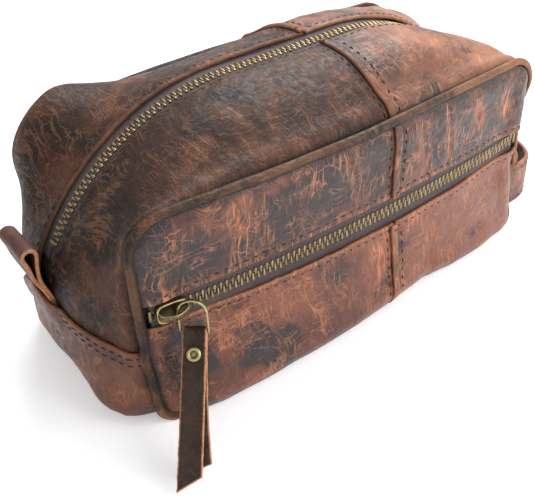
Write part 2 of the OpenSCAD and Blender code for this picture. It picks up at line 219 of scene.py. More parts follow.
SLUMP_Z = 34.0
SLUMP_X = (-102, -90, -78, -47, -23, 5, 37, 55, 75, 90, 102)
SLUMP = (3.4, 6.2, 7.2, 5.4, 4.8, 2.6, -0.7, 2.6, 3.4, 2.0, 0.5)
LIFT_OFF = 0.15


def slumped(points):
    """The loaded bag settles on the floor: its lower front swells out here and there."""
    x, y, z = points.T
    rise = SLUMP_Z - 12 * smooth(x, 20, 60)
    share = smooth(rise - z, 0, rise) * smooth(-y, 22, 46)
    # the left end sags outwards at the floor beside the piping, and is drawn in above that
    beside = smooth(-y, 10, 42) * (1 - smooth(-y, 40, 45))
    sag = 10.0 * smooth(-x, 62, 98) * (1 - smooth(z, 0, 22)) * beside
    drawn = 2.6 * smooth(-x, 92, 112) * bell(z, 34, 13) * (1 - smooth(-y, 22, 42))
    front = np.interp(x, SLUMP_X, SLUMP) * share
    return packed(x - sag + drawn, y - front, np.maximum(z, LIFT_OFF))


def linked(name, data):
    """A new object in the scene."""
    made = bpy.data.objects.new(name, data)
    bpy.context.scene.collection.objects.link(made)
    return made


def make(name, points, faces, material, stands_for=None, body="root", paint=None):
    """A mesh piece that rides on a body and stands for a CAD node. Points are in mm, and paint
    holds named vertex values."""
    points = np.array(points, float)
    if body == "root":
        points = slumped(points)
    mesh = bpy.data.meshes.new(name)
    mesh.from_pydata((points * MM).tolist(), [], faces)
    mesh.validate()
    mesh.update()
    mesh.shade_smooth()
    for key, values in (paint or {}).items():
        layer = mesh.attributes.new(key, "FLOAT", "POINT")
        layer.data.foreach_set("value", np.asarray(values, np.float32).ravel())
    mesh.materials.append(material)
    piece = linked(name, mesh)
    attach(piece, body)
    if stands_for:
        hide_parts(stands_for)


def skin(name, grid, sign, thick, material, stands_for, body="root", paint=None):
    """A closed sheet of leather or cloth with rounded rims. The grid is its outer face."""
    rows, cols = grid.shape[:2]
    normal = grid_normals(grid, sign)
    rim = rim_distance(grid)
    r = thick / 2
    drop = np.where(rim < r, r - np.sqrt(np.maximum(r * r - (r - rim) ** 2, 0)), 0)
    outer = grid - normal * drop[..., None]
    inner = grid - normal * (thick - drop)[..., None]
    top = np.arange(rows * cols).reshape(rows, cols)
    under = top.copy()
    under[1:-1, 1:-1] = rows * cols + np.arange((rows - 2) * (cols - 2)).reshape(rows - 2, cols - 2)
    face_top, face_under = [
        packed(a[:-1, :-1], a[1:, :-1], a[1:, 1:], a[:-1, 1:]).reshape(-1, 4) for a in (top, under)]
    if sign > 0:
        face_under = face_under[:, ::-1]
    else:
        face_top = face_top[:, ::-1]
    points = np.concatenate([outer.reshape(-1, 3), inner[1:-1, 1:-1].reshape(-1, 3)])
    values = {"edge": 1 - smooth(rim, 0.22 * thick, 0.5 * thick)}
    values.update(paint or {})
    values = {k: np.broadcast_to(v, (rows, cols)) for k, v in values.items()}
    values = {k: np.concatenate([v.ravel(), v[1:-1, 1:-1].ravel()]) for k, v in values.items()}
    faces = np.concatenate([face_top, face_under]).tolist()
    make(name, points, faces, material, stands_for, body, values)


def lofted(rings, closed=False):
    """Points and faces of a body through rings of points: a closed loop, or capped at both ends.
    The caps are the last two faces."""
    count, sides = rings.shape[:2]
    faces = []
    for i in range(count if closed else count - 1):
        a, b = i * sides, (i + 1) % count * sides
        for k in range(sides):
            j = (k + 1) % sides
            faces.append([a + k, a + j, b + j, b + k])
    if not closed:
        faces.append(list(range(sides))[::-1])
        faces.append([(count - 1) * sides + k for k in range(sides)])
    return rings.reshape(-1, 3), faces


def flipped(faces):
    return [face[::-1] for face in faces]


def sweep(path, section, across, closed):
    """Points and faces of a section swept along a path. Across gives each path point's
    first section axis, and the second is at right angles to it and to the path."""
    if closed:
        ahead = unit(np.roll(path, -1, 0) - np.roll(path, 1, 0))
    else:
        ahead = unit(np.gradient(path, axis=0))
    across = np.broadcast_to(across, path.shape)
    across = unit(across - (across * ahead).sum(-1, keepdims=True) * ahead)
    other = np.cross(ahead, across)
    section = np.broadcast_to(section, (len(path),) + section.shape[-2:])
    rings = path[:, None] + section[..., :1] * across[:, None] + section[..., 1:] * other[:, None]
    return lofted(rings, closed)


def joined(parts):
    """One list of points and one of faces from several (points, faces) pairs."""
    points, faces, start = [], [], 0
    for p, f in parts:
        points.append(np.asarray(p, float))
        faces += [[k + start for k in face] for face in f]
        start += len(p)
    return np.concatenate(points), faces


def oval(width, height, sides=12, power=2.0):
    """A section: an ellipse, or a rounded rectangle with a higher power."""
    a = np.linspace(0, 2 * math.pi, sides, endpoint=False)
    x = signed_power(np.cos(a), 2 / power) * width / 2
    y = signed_power(np.sin(a), 2 / power) * height / 2
    return packed(x, y)


# ---------------------------------------------------------------- materials

class Value:
    """A socket in a material's nodes. Its methods and sums add the nodes that follow it."""

    def __init__(self, tree, socket):
        self.tree = tree
        self.socket = socket

    def node(self, kind, inputs, output=0, **settings):
        """Adds a node. An input is another value, or a number, a vector or a colour."""
        made = self.tree.nodes.new(kind)
        for key, value in settings.items():
            setattr(made, key, value)
        for key, value in inputs.items():
            if isinstance(value, Value):
                self.tree.links.new(value.socket, made.inputs[key])
            else:
                made.inputs[key].default_value = value
        return Value(self.tree, made.outputs[output])

    def calc(self, operation, other=0.0):
        return self.node("ShaderNodeMath", {0: self, 1: other}, operation=operation)

    def __add__(self, other):
        return self.calc("ADD", other)

    def __sub__(self, other):
        return self.calc("SUBTRACT", other)

    def __mul__(self, other):
        return self.calc("MULTIPLY", other)

    def larger(self, other):
        return self.calc("MAXIMUM", other)

    def clamped(self):
        return self.node("ShaderNodeClamp", {0: self})

    def ramp(self, low, high, start=0.0, end=1.0):
        """A smooth step from start to end as the value goes from low to high."""
        ends = {"From Min": low, "From Max": high, "To Min": start, "To Max": end}
        return self.node("ShaderNodeMapRange", {"Value": self, **ends}, "Result",
                         interpolation_type="SMOOTHSTEP")

    def blend(self, a, b):
        """Mixes two colours, with this value as the second one's share."""
        a, b = [c if isinstance(c, Value) else (*c, 1) for c in (a, b)]
        return self.node("ShaderNodeMix", {0: self, 6: a, 7: b}, 2, data_type="RGBA")

    def bumped(self, distance):
        """A bump normal from a height of 0 to 1 that stands for distance in mm."""
        return self.node("ShaderNodeBump", {"Height": self, "Strength": 1.0, "Distance": distance * MM})

    def painted(self, name):
        """A named value painted on the vertices, which is 0 on a piece without it."""
        return self.node("ShaderNodeAttribute", {}, "Fac", attribute_name=name)

    # these start from a place in mm

    def vector(self, operation, inputs):
        return self.node("ShaderNodeVectorMath", {0: self, **inputs}, operation=operation)

    def noise(self, scale, detail=3.0, rough=0.55, output="Fac"):
        return self.node("ShaderNodeTexNoise",
                         {"Vector": self, "Scale": scale, "Detail": detail, "Roughness": rough}, output)

    def warped(self, scale, amount):
        """The place, pushed about by noise by up to half of amount in mm."""
        push = self.noise(scale, 2.0, output="Color").vector("SUBTRACT", {1: (0.5, 0.5, 0.5)})
        return self.vector("ADD", {1: push.vector("SCALE", {3: amount})})

    def stretched(self, x, y, z):
        """The place scaled along each axis, which draws a pattern out along the small ones."""
        return self.vector("MULTIPLY", {1: (x, y, z)})

    def cells(self, scale, width):
        """1 along the borders of random cells, and 0 inside them."""
        found = self.node("ShaderNodeTexVoronoi", {"Vector": self, "Scale": scale}, "Distance",
                          feature="DISTANCE_TO_EDGE")
        return found.ramp(0.0, width, 1.0, 0.0)

    def strands(self, scale, width, detail):
        """1 along thin winding lines, and 0 between them."""
        level = self.noise(scale, detail, 0.5)
        return (level - 0.5).calc("ABSOLUTE").ramp(0.0, width, 1.0, 0.0)


def new_material(name):
    """A material without a surface yet, and the point's place in the bag's frame, in mm."""
    material = bpy.data.materials.new(name)
    material.use_nodes = True
    tree = material.node_tree
    tree.nodes.clear()
    place = Value(tree, tree.nodes.new("ShaderNodeTexCoord").outputs["Object"])
    return material, place.vector("SCALE", {3: 1 / MM})


def surfaced(material, place, **sockets):
    """Finishes a material with a principled shader."""
    shader = place.node("ShaderNodeBsdfPrincipled", {k.replace("_", " "): v for k, v in sockets.items()})
    output = place.tree.nodes.new("ShaderNodeOutputMaterial")
    place.tree.links.new(shader.socket, output.inputs[0])
    return material


def tinted(colour, factor):
    return tuple(c * factor for c in colour)


def leather(name, ground, pale, dark, vein, patches, veins, fibres, rough, shine):
    """Distressed pull-up leather: brown ground, charcoal patches, fine fibres and rust veins."""
    material, place = new_material(name)
    drift = place.warped(0.05, 16.0)
    crumple = place.warped(0.2, 5.0)
    swept = place.warped(0.03, 20.0).warped(0.16, 1.8)
    upright = swept.stretched(1.0, 0.085, 0.085)
    level = swept.stretched(0.1, 1.0, 1.0)
    creased, level_creased = place.painted("crease"), place.painted("level_crease")

    # the pale paint makes the hide lighter or darker: partly its own colour, partly a painted sheen and
    # painted shade
    tone_and_painted_light = drift.noise(0.04).ramp(0.42, 0.64) + place.painted("pale")
    colour = tone_and_painted_light.clamped().blend(ground, pale)
    # streaks of short fibres
    fibre = place.stretched(1.0, 1.0, 0.35).noise(1.1, 3.0, 0.6)
    colour = fibre.ramp(0.5, 0.74, 0.0, 0.4).blend(colour, pale)
    # charcoal patches, soft at the edge, where noise or paint says so
    cloud = drift.noise(0.05, 3.0, 0.5) + (place.painted("dark") - place.painted("pale")) * 0.3
    cloud = cloud + fibre.ramp(0.3, 0.7, -0.035, 0.035)
    colour = (cloud.ramp(0.46, 0.62) * patches).blend(colour, dark)
    mottle = crumple.noise(0.8, 4.0, 0.65)
    colour = mottle.ramp(0.3, 0.54, 0.4, 0.0).blend(colour, dark)
    few = place.noise(0.08).ramp(0.42, 0.6, 0.15, 1.0)
    hair = upright.strands(0.4, 0.032, 2.0).larger(level.strands(0.4, 0.026, 2.0)) * few
    colour = (hair * fibres).blend(colour, vein)
    # rust veins, where the hide has been folded: upright fans, level fans and a loose net
    fold = drift.noise(0.045, 2.0)
    net = crumple.cells(0.11, 0.03) * fold.ramp(0.5, 0.6, 0.0, 0.7)
    fans = upright.strands(0.38, 0.036, 2.0) * (creased + fold.ramp(0.53, 0.64, 0.0, 0.75))
    across = level.strands(0.34, 0.036, 1.8) * (level_creased + fold.ramp(0.45, 0.36, 0.0, 0.5))
    lines = (net.larger(fans.larger(across)) * veins).clamped()
    colour = lines.blend(colour, vein)
    rub = creased * fibre.ramp(0.4, 0.7, 0.04, 0.4)
    colour = rub.blend(colour, vein)
    # worn rims, and painted shade in the seams and grooves
    colour = (place.painted("edge") * 0.4).blend(colour, vein)
    colour = (place.painted("groove_shade") * 0.8).blend(colour, dark)

    grain = crumple.node("ShaderNodeTexVoronoi", {"Vector": crumple, "Scale": 1.15}, "Distance",
                         feature="SMOOTH_F1")
    height = grain * 0.35 - lines.larger(hair) * 0.5 + mottle * 0.6 + drift.noise(0.2) * 3.0
    gloss = crumple.noise(0.4, 4.0).ramp(0.3, 0.7, rough - 0.1, rough + 0.14)
    return surfaced(material, place, Base_Color=colour, Roughness=gloss, Normal=height.bumped(0.2),
                    IOR=1.45, Specular_IOR_Level=shine)


def strap_leather(name, face, flesh):
    """Oiled strap leather with raw, paler edges."""
    material, place = new_material(name)
    crumple = place.warped(0.5, 2.2)
    mottle = crumple.noise(0.9, 5.0, 0.7)
    oiled = tuple(c * 1.6 + 0.004 for c in face)
    colour = place.noise(0.09, 4.0).ramp(0.38, 0.66).blend(face, oiled)
    colour = (crumple.strands(0.35, 0.02, 1.5) * 0.15).blend(colour, tinted(flesh, 0.45))
    colour = mottle.ramp(0.38, 0.55, 0.3, 0.0).blend(colour, tinted(face, 0.6))
    raw = place.noise(1.3, 4.0).ramp(0.35, 0.7).blend(flesh, tinted(flesh, 0.5))
    colour = place.painted("edge").blend(colour, raw)
    return surfaced(material, place, Base_Color=colour, Roughness=mottle.ramp(0.3, 0.7, 0.44, 0.67),
                    Normal=mottle.bumped(0.2), IOR=1.45, Specular_IOR_Level=0.3)


def brass(name, old, bright, rough):
    """Antique brass: dark in its hollows, worn bright where the vertices are painted worn."""
    material, place = new_material(name)
    stain = place.noise(1.6, 5.0, 0.65)
    wear = place.painted("worn") + stain.ramp(0.4, 0.75, -0.25, 0.3)
    return surfaced(material, place, Base_Color=wear.clamped().blend(old, bright), Metallic=1.0,
                    Roughness=stain.ramp(0.3, 0.7, rough - 0.08, rough + 0.16),
                    Normal=place.noise(5.0).bumped(0.03))


def woven(name, warp, weft, pitch):
    """Cloth with a fine twill: diagonal ribs under a little fuzz."""
    material, place = new_material(name)
    turned = place.node("ShaderNodeVectorRotate", {"Vector": place, "Axis": (0.3, 0.8, 0.5), "Angle": 0.8})
    ribs = turned.node("ShaderNodeTexWave",
                       {"Vector": turned, "Scale": 1 / pitch, "Distortion": 0.6, "Detail": 1.0}, "Fac",
                       bands_direction="X")
    fuzz = place.noise(2.5, 4.0, 0.7)
    colour = (ribs * fuzz.ramp(0.3, 0.7, 0.5, 1.0)).blend(warp, weft)
    return surfaced(material, place, Base_Color=colour, Roughness=0.85,
                    Normal=(ribs + fuzz).bumped(0.08), Sheen_Weight=0.3, Sheen_Roughness=0.5)


def plain_grainy(name, colour, other, rough, depth):
    """Thread or board: two near tones in fine noise."""
    material, place = new_material(name)
    fuzz = place.noise(1.8, 4.0, 0.65)
    return surfaced(material, place, Base_Color=fuzz.ramp(0.35, 0.65).blend(colour, other),
                    Roughness=rough, Normal=fuzz.bumped(depth))


CHARCOAL = (0.016, 0.012, 0.014)
hide_front = leather("hide_front", (0.070, 0.019, 0.012), (0.185, 0.058, 0.031), CHARCOAL,
                     (0.46, 0.175, 0.078), patches=0.92, veins=0.9, fibres=0.4, rough=0.37, shine=0.5)
# The left end's hide is much darker than the right end's: partly its own colour, and partly painted shade
# on the end turned away from the light.
hide_left = leather("hide_left", (0.034, 0.014, 0.009), (0.095, 0.037, 0.020), (0.010, 0.008, 0.007),
                    (0.28, 0.118, 0.058), patches=0.85, veins=0.45, fibres=0.4, rough=0.54, shine=0.28)
hide_right = leather("hide_right", (0.115, 0.040, 0.022), (0.285, 0.118, 0.063), CHARCOAL,
                     (0.46, 0.200, 0.100), patches=0.85, veins=0.6, fibres=0.4, rough=0.46, shine=0.4)
hide_base = leather("hide_base", (0.075, 0.026, 0.015), (0.180, 0.064, 0.032), CHARCOAL,
                    (0.36, 0.145, 0.070), patches=0.7, veins=0.5, fibres=0.4, rough=0.46, shine=0.4)
hide_piping = leather("hide_piping", (0.018, 0.012, 0.008), (0.24, 0.100, 0.046), (0.010, 0.008, 0.006),
                      (0.30, 0.140, 0.070), patches=0.6, veins=0.4, fibres=0.3, rough=0.5, shine=0.25)
hide_tab = strap_leather("hide_tab", (0.062, 0.024, 0.015), (0.46, 0.21, 0.10))
hide_strap = strap_leather("hide_strap", (0.030, 0.0165, 0.0115), (0.50, 0.23, 0.11))
metal = brass("antique_brass", (0.060, 0.048, 0.024), (0.60, 0.49, 0.25), 0.38)
teeth_metal = brass("chain_brass", (0.040, 0.030, 0.017), (0.40, 0.30, 0.155), 0.34)
tape_cloth = woven("tape_twill", (0.034, 0.014, 0.016), (0.072, 0.034, 0.038), 0.55)
lining_cloth = woven("lining_cotton", (0.30, 0.23, 0.15), (0.42, 0.34, 0.24), 0.5)
thread = plain_grainy("thread_brown", (0.020, 0.008, 0.006), (0.045, 0.016, 0.010), 0.7, 0.04)
thread_faint = plain_grainy("thread_faint", (0.060, 0.024, 0.014), (0.10, 0.04, 0.022), 0.7, 0.04)
board_fibre = plain_grainy("board_fibre", (0.25, 0.19, 0.13), (0.34, 0.27, 0.19), 0.9, 0.1)


# ---------------------------------------------------------------- the bag's surfaces

def arc(cx, cz, r, start, end, count):
    a = np.radians(np.linspace(start, end, count))
    return packed(cx + r * np.sin(a), cz + r * np.cos(a))


def half_outline(out=0.0):
    """Right half of the panel's outline, from its top middle to its bottom middle, grown by out."""
    return np.concatenate([
        [[0, PANEL_TOP + out]],
        arc(PANEL_HALF - CORNER, PANEL_TOP - CORNER, CORNER + out, 0, 90, 40),
        arc(PANEL_HALF - LOW_CORNER, PANEL_LOW + LOW_CORNER, LOW_CORNER + out, 90, 180, 40),
        [[0, PANEL_LOW - out]]])


def half_profile():
    """Right half of the bag's profile under the main zip. The weight inside squares its hips."""
    low = np.radians(np.linspace(0, 90, 50))[1:]
    hip = packed(HIP_X + HIP_R * np.cos(low) ** 0.55, HIP_R - HIP_R * np.sin(low) ** 0.55)
    return np.concatenate([
        [[0, CROWN]],
        arc(CROWN_HALF, SHOULDER_Z, SHOULDER_R, 0, SHOULDER_A, 90),
        arc(HIP_X, HIP_R, HIP_R, SHOULDER_A, 90, 30)[1:],
        hip,
        [[0, 0]]])


def along(points, share):
    """The point at a share, from 0 to 1, of a polyline's length."""
    run = lengths(points)
    run /= run[-1]
    return np.interp(share, run, points[:, 0]), np.interp(share, run, points[:, 1])


def face_y(x):
    """How far the front panel's face is from the middle, as a positive depth."""
    return np.sqrt(PANEL_R**2 - np.asarray(x, float) ** 2) - PANEL_AXIS


SEAM_IN = 1.3
FLAT = 10.0
PUFF = 2.2


def seam_depth(s):
    """How far the seams between the gusset and the panels are from the middle."""
    return face_y(along(half_outline(), np.abs(s))[0]) - SEAM_IN


def body_at(s, v):
    """A point on the bag between its panels. s goes round the profile: 0 is the top middle,
    1 and -1 the bottom middle, positive on the right. v is -1 at the front seam and 1 at the back."""
    s, v = np.broadcast_arrays(np.asarray(s, float), np.asarray(v, float))
    ox, oz = along(half_outline(), np.abs(s))
    cx, cz = along(half_profile(), np.abs(s))
    depth = seam_depth(s)
    y = v * depth
    q = np.clip((np.abs(y) - FLAT) / (depth - FLAT), 0, 1)
    w = 1 - q**PUFF
    x = (ox * (1 - w) + cx * w) * np.where(s < 0, -1, 1)
    z = oz * (1 - w) + cz * w
    return packed(x, y, z)


def inset(v):
    """About how far v is from the nearer seam, in mm."""
    return (1 - np.abs(v)) * HALF_OVER


def body_relief(points, s, v):
    """Soft lumps and hollows of the gusset and base, outwards in mm."""
    lumps = 0.6 * waves(points, 38, 3) + 0.28 * waves(points, 14, 4) + 0.09 * waves(points, 5, 5)
    hold = smooth(1 - np.abs(v), 0.0, 0.25)
    s, v = np.broadcast_arrays(np.asarray(s, float), np.asarray(v, float))
    reach = np.clip((np.abs(v) - 0.2) / 0.8, 0, 1)
    belly = np.sin(math.pi * reach) ** 0.8
    late = np.sin(math.pi * reach**2.2) ** 0.8
    # fuller at the rear left shoulder, the right shoulder and the hips, and flatter behind the crown
    fuller = 13.0 * late * (v > 0) * bell(s, -0.30, 0.085)
    fuller = fuller - 3.0 * belly * (v > 0) * bell(s, -0.10, 0.16)
    fuller = fuller + 4.5 * belly * bell(s, 0.34, 0.10)
    fuller = fuller + 3.0 * late * bell(np.abs(s), 0.62, 0.06)
    # rolled seam allowance beside the piping
    roll = bell(inset(v), 5.2, 2.2) - 1.7 * bell(inset(v), 0, 2.0)
    return lumps * (0.35 + 0.65 * hold) + fuller + roll


def body_skin_grid(s, v, lift, share=1.0):
    """A grid on the bag's side, with a share of its lumps and an extra lift in mm, and the sign
    that turns the grid's normals outwards."""
    flat = body_at(s, v)
    normal = grid_normals(flat, 1.0)
    outward = np.sign(((flat - INSIDE) * normal).sum())
    relief = body_relief(flat, s, v) * share + lift
    return flat + normal * outward * relief[..., None], outward


# ---- front and back panels

GAP_END = 5.2
GAP_SWELL = 1.4


def gap_at(x):
    """Half the height of the pocket zip's opening in the leather."""
    return GAP_END + GAP_SWELL * np.cos(np.radians(90 * np.clip(np.abs(x) / PANEL_HALF, 0, 1)))


def outline_top(x, up):
    """Height of the panel's outline above, or with up negative below, the middle of its height."""
    corner = np.where(np.asarray(up) > 0, CORNER, LOW_CORNER)
    past = np.clip(np.abs(x) - PANEL_HALF + corner, 0, corner)
    return (PANEL_TOP - PANEL_LOW) / 2 - corner + np.sqrt(corner**2 - past**2)


PANEL_MID = (PANEL_TOP + PANEL_LOW) / 2
STITCH_IN = 2.8


def border_distance(x, z):
    """How far points of a panel are from its edge."""
    up = outline_top(x, z - PANEL_MID) - np.abs(z - PANEL_MID)
    return np.minimum(PANEL_HALF - np.abs(x), np.maximum(up, 0))


def from_stitches(x, z):
    """How far points are from the stitches along the pocket zip, positive away from the zip."""
    return np.abs(z - ZIP_Z) - gap_at(x) - STITCH_IN


# Folds in the front panel: each line's points (x, z), how deep it is and how wide, in mm
FOLDS = [
    ([(-64, 85), (-61, 77), (-58, 69), (-57, 58)], 0.30, 1.0),
    ([(-59, 86), (-56, 76), (-53, 68), (-52, 58)], 0.35, 1.1),
    ([(-68, 82), (-62, 76), (-56, 72)], 0.20, 0.9),
    ([(-50, 84), (-53, 75), (-55, 66)], 0.20, 0.9),
    ([(-13, 87), (-10, 77), (-6, 66), (-5, 58)], 0.35, 1.1),
    ([(-8, 86), (-5, 76), (-4, 66)], 0.25, 1.0),
    ([(-94, 70), (-84, 73), (-74, 71), (-66, 73)], 0.15, 0.8),
    ([(26, 86), (30, 76), (33, 66), (34, 60)], 0.35, 1.2),
    ([(44, 87), (45, 77), (47, 68), (47, 60)], 0.40, 1.2),
    ([(63, 86), (64, 78), (68, 68)], 0.30, 1.1),
    ([(86, 84), (84, 75), (87, 66)], 0.30, 1.1),
    ([(-77, 40), (-68, 39), (-60, 40.5)], 0.35, 0.8),
    ([(-78, 36.5), (-68, 35.5), (-59, 36)], 0.45, 0.9),
    ([(-78, 32.5), (-69, 31.5), (-61, 30)], 0.35, 0.9),
    ([(-79, 28.5), (-72, 27), (-66, 24)], 0.25, 0.9),
    ([(-46, 43), (-44, 34), (-47, 25)], 0.25, 1.0),
    ([(-38, 42), (-35, 32), (-31, 22)], 0.25, 1.0),
    ([(-22, 43), (-24, 33), (-20, 22)], 0.22, 1.0),
    ([(2, 42), (6, 30), (4, 18)], 0.22, 1.0),
    ([(30, 40), (36, 30), (34, 20)], 0.22, 1.1),
]

# Charcoal patches on the front panel: centre (x, z), half width and half height, strength
FRONT_DARK = [
    (-42, 77, 11, 7, 1.0), (-17, 72, 11, 8, 1.0), (38, 73, 6, 9, 0.9), (56, 74, 6, 9, 0.9),
    (79, 76, 7, 9, 0.9), (-86, 68, 16, 16, 0.6), (-56, 17, 14, 9, 1.0), (-62, 78, 3, 3, 0.4),
    (-14, 34, 14, 8, 0.4), (22, 26, 13, 9, 0.6), (-88, 24, 12, 20, 0.6), (68, 17, 13, 6, 0.9),
    (46, 30, 7, 7, 0.5),
]


def front_relief(x, z):
    """Outward relief of the front panel in mm: cushioned to its border, with folds and lumps."""
    across = PANEL_HALF - np.abs(x)
    border = border_distance(x, z)
    relief = 0.5 * (1 - smooth(np.abs(border - 8), 0, 7)) - 1.1 * (1 - smooth(border, -0.5, 4.5))
    # fuller at the right end, below the zip and at the foot
    relief = relief + 1.8 * bell(x, 97, 7)
    low = np.clip((42 - z) / 39, 0, 1)
    relief = relief + 2.6 * np.sin(math.pi * low**1.2) * smooth(across, 0, 25)
    relief = relief + 1.5 * bell(z, 7, 4.5) * smooth(across, 0, 12)
    # pressed in round the pull and towards the right end, just below the zip
    relief = relief - 2.2 * (bell(x, -78, 20) + smooth(x, 50, 80)) * bell(z, 36, 9)
    row = from_stitches(x, z)
    relief = relief - 0.35 * bell(row, 0, 0.8) + 0.25 * bell(row, -1.6, 0.9)
    place = packed(x, 0, z)
    relief = relief + 0.35 * waves(place, 30, 7) + 0.14 * waves(place, 11, 8)
    for line, depth, width in FOLDS:
        gap = to_line(x + 0.5 * waves(place, 4, 9), z, line)
        relief = relief - depth * (bell(gap, 0, width) - 0.6 * bell(gap, 2.0 * width, width))
    return relief


def front_paint(x, z):
    """Where the front panel is creased or dark, where painted shade lies in its grooves and seams, and
    where it is paler or darker, partly as a painted sheen.
    """
    place = packed(x, 0, z)
    crease, level = np.zeros_like(x), np.zeros_like(x)
    for line, depth, width in FOLDS:
        gap = to_line(x + 0.9 * waves(place, 5, 10), z + 0.9 * waves(place, 6, 11), line)
        worn = min(0.9, depth * 2.7) * bell(gap, 0, 2.6 * width)
        if abs(line[-1][0] - line[0][0]) > abs(line[-1][1] - line[0][1]):
            level = np.maximum(level, worn)
        else:
            crease = np.maximum(crease, worn)
    dark = np.zeros_like(x)
    for cx, cz, rx, rz, strength in FRONT_DARK:
        away = np.hypot((x - cx) / rx, (z - cz) / rz) + 0.2 * waves(place, 9, 12)
        dark = np.maximum(dark, strength * (1 - smooth(away, 0.55, 1.25)))
    row = from_stitches(x, z)
    seam = x - SEAM_X
    hem = 0.75 * (1 - smooth(row, -0.4, 1.6)) + 0.8 * bell(seam, 1.8, 2.6)
    # painted shade along the pocket zip's stitch row, at the border beside the piping, in the groove
    # behind the lap's ridge and under the lap's edge
    groove_shade = 0.5 * bell(row, 0, 0.5) + 1 - smooth(border_distance(x, z), 0.6, 2.8)
    groove_shade = groove_shade + 0.8 * bell(seam, 5.0, 0.5) + 0.5 * bell(seam, -0.3, 0.5)
    # paler towards the right below the pocket zip, partly the hide's own colour and partly a painted
    # sheen; darker above the zip
    pale = np.where(z > ZIP_Z, -0.3, 0.15 + 0.75 * smooth(x, -30, 60))
    return {"crease": np.maximum(crease, hem), "level_crease": level, "dark": dark,
            "groove_shade": np.clip(groove_shade, 0, 1), "pale": pale}


def panel_at(x, z, side, relief):
    """A point on the front (side -1) or back (side 1) panel, pushed outwards by relief.
    The panel's lower edge rolls under."""
    r = PANEL_R + relief
    z = z - 2.4 * (1 - smooth(z, 3, 9))
    depth = np.sqrt(np.maximum(r**2 - x**2, 0)) - PANEL_AXIS
    return packed(x, side * depth, z)


def corner_columns(start, end):
    """x values from start to end, closer together round a corner of the outline."""
    c = PANEL_HALF - CORNER
    turn = CORNER * np.sin(np.radians(np.linspace(90, 4, 22)))
    marks = np.array([0, 0.12, 0.3, 0.55, 0.9])
    left = -c - turn if start < -c else start + marks
    right = c + turn[::-1] if end > c else end - marks[::-1]
    low = -c if start < -c else start + 1.5
    high = c if end > c else end - 1.5
    return np.concatenate([left, np.linspace(low, high, int((high - low) / 1.1)), right])


# Lapped seams: how far the lower piece goes under, how high the upper one stands, and where the
# rows of stitches are from its edge
UNDER = 2.5
LAP = 1.5
LAP_ROWS = (-1.7, 6.6)


def lap_lift(x, edge):
    """Lift of a piece that laps over its neighbour at edge: a ridge, with a groove behind it."""
    past = x - edge
    return LAP * (1 - smooth(past, 2.7, 4.9)) - 0.45 * bell(past, 5.0, 0.8)


def front_lap(x, z):
    """The lap's lift on the front panel, pressed flat where the lower edge rolls under."""
    return lap_lift(x, SEAM_X) * (0.3 + 0.7 * smooth(z, 3, 10))


def front_grid(up, end):
    """x and z of a front panel piece's grid: up is 1 above the zip, end is -1 left and 1 right."""
    if end > 0:
        x = corner_columns(SEAM_X, PANEL_HALF)
    else:
        x = corner_columns(-PANEL_HALF, SEAM_X + UNDER)
    near = ZIP_Z + up * gap_at(x)
    far = PANEL_MID + up * outline_top(x, up)
    v = spread(34, 38)
    z = near[:, None] + (far - near)[:, None] * v[None]
    return np.broadcast_to(x[:, None], z.shape), z


def front_panel(up, end):
    x, z = front_grid(up, end)
    relief = front_relief(x, z)
    if end > 0:
        relief = relief + front_lap(x, z)
    name = f"front_{LEVEL[up]}_{END[end]}"
    skin(name + "_leather", panel_at(x, z, -1, relief), up, LEATHER, hide_front, name + "_panel",
         paint=front_paint(x, z))


def back_panel():
    x = corner_columns(-PANEL_HALF, PANEL_HALF)
    v = spread(70, 87) * 2 - 1
    z = PANEL_MID + outline_top(x[:, None], v[None]) * v[None]
    x = np.broadcast_to(x[:, None], z.shape)
    place = packed(x, 50.0, z)
    border = border_distance(x, z)
    relief = smooth(border, -0.5, 5.0) - 1 + 0.5 * waves(place, 40, 15) + 0.15 * waves(place, 12, 16)
    # painted shade at the border, in the dip beside the piping
    skin("back_leather", panel_at(x, z, 1, relief), -1, LEATHER, hide_front, "back_panel",
         paint={"groove_shade": 1 - smooth(border, 0.6, 2.8)})


# ---- gusset and base

SEAM_S = 0.0432
TUCK_S = 0.575


def main_gap(s):
    """Half the width of the main zip's opening in the leather."""
    return 4.7 + 1.9 * np.cos(np.clip(np.abs(s) / 0.5, 0, 1) * math.pi / 2)


def gusset_grid(side, end):
    """s and v of a gusset piece's grid."""
    if end > 0:
        s = SEAM_S + (TUCK_S - SEAM_S) * spread(118, 148)
    else:
        start = SEAM_S + UNDER / HALF_ROUND
        s = start - (TUCK_S + start) * spread(142, 172)
    inner = main_gap(s) / seam_depth(s)
    t = spread(38, 44)
    v = side * (1 + (inner - 1)[:, None] * t[None])
    return np.broadcast_to(s[:, None], v.shape), v


def gusset_lap(s):
    """The lap's lift on the gusset."""
    return lap_lift(s * HALF_ROUND, SEAM_S * HALF_ROUND)


def gusset(side, end):
    s, v = gusset_grid(side, end)
    grid, outward = body_skin_grid(s, v, gusset_lap(s) if end > 0 else 0.0)
    rubbed = 1 - smooth(np.abs(inset(v) - 5.4), 0.0, 2.8)
    name = f"gusset_{DEPTH[side]}_{END[end]}"
    # its paint: rubbed, paler leather on the roll beside the piping; painted shade in the groove at the
    # seam; paler leather towards the right end's shoulder; and painted shade darkening the lower part of
    # the left end
    skin(name + "_leather", grid, outward, LEATHER, hide_right if end > 0 else hide_left, name,
         paint={"crease": 0.75 * rubbed * (0.35 + 0.65 * bell(np.abs(s), 0.36, 0.07)),
                "groove_shade": 1 - smooth(inset(v), 1.4, 3.6),
                "pale": 0.35 * smooth(s, 0.0, 0.3) - 0.3 * smooth(-s, 0.26, 0.42)})


